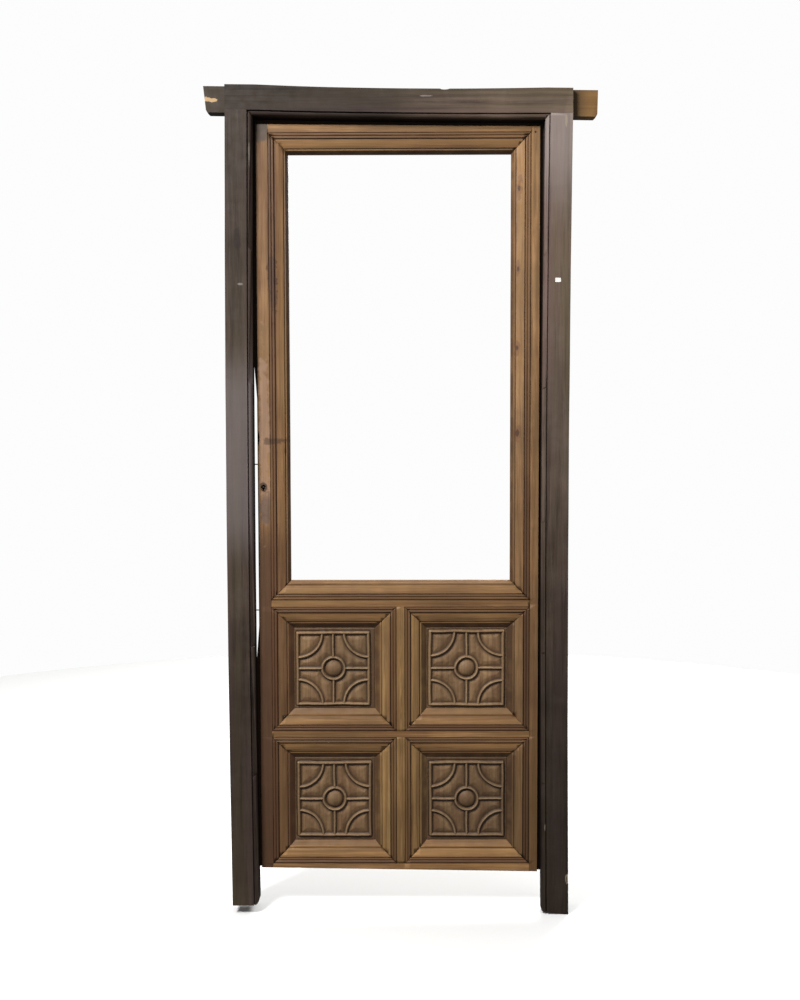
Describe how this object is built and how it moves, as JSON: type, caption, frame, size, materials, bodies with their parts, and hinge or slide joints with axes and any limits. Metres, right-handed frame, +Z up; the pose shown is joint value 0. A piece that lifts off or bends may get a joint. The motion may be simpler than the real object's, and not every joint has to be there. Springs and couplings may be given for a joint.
{
  "type": "panelled door with frame",
  "caption": "Panelled pine door leaf with an open upper light and carved square lower panels, hinged in its dark timber frame with projecting head horns.",
  "frame": {"origin": "middle of the overall box in X and Y, at the level of the lower foot", "axes": "+X to the right seen from the front, +Y from the moulded front towards the hinged back, +Z up"},
  "size_m": [1.06, 0.096, 2.2655],
  "materials": {
    "frame_timber": "dark stained softwood, dull wax, worn arrises",
    "leaf_timber": "honey to red-brown waxed pine, dirt in the quirks",
    "carved_timber": "hand-carved pine, dark in the hollows and pale on the ridges",
    "peg_timber": "dark hardwood pegs, end grain showing",
    "old_iron": "dark wrought iron with light rust",
    "sticker_paper": "blank white paper sticker"
  },
  "bodies": {
    "frame": {"jamb_left": "frame_timber", "jamb_right": "frame_timber", "head": "frame_timber", "frame_pegs": "peg_timber", "hinge_frame_plate_bottom": "old_iron", "hinge_frame_plate_middle": "old_iron", "hinge_frame_plate_top": "old_iron", "hinge_pin_bottom": "old_iron", "hinge_pin_middle": "old_iron", "hinge_pin_top": "old_iron", "frame_hinge_screws": "old_iron", "lock_keeper": "old_iron", "keeper_screws": "old_iron"},
    "leaf": {"stile_lock": "leaf_timber", "stile_hinge": "leaf_timber", "rail_top": "leaf_timber", "rail_middle": "leaf_timber", "rail_cross": "leaf_timber", "rail_bottom": "leaf_timber", "muntin_upper": "leaf_timber", "muntin_lower": "leaf_timber", "panel_upper_left": "carved_timber", "panel_upper_right": "carved_timber", "panel_lower_left": "carved_timber", "panel_lower_right": "carved_timber", "leaf_pegs": "peg_timber", "hinge_leaf_plate_bottom": "old_iron", "hinge_leaf_plate_middle": "old_iron", "hinge_leaf_plate_top": "old_iron", "leaf_hinge_screws": "old_iron", "lock_case": "old_iron", "key_post": "old_iron", "lock_screws": "old_iron", "edge_nail_lower": "old_iron", "edge_nail_upper": "old_iron"},
    "bolt": {"lock_bolt": "old_iron"}
  },
  "joints": [
    {"name": "leaf_swing", "type": "hinge", "parent": "frame", "child": "leaf", "pos_m": [0.39205, 0.0373, 1.15], "axis": [0, 0, -1], "range_deg": [0, 105]},
    {"name": "bolt_throw", "type": "slide", "parent": "leaf", "child": "bolt", "axis": [-1, 0, 0], "range_m": [0, 0.032]}
  ]
}
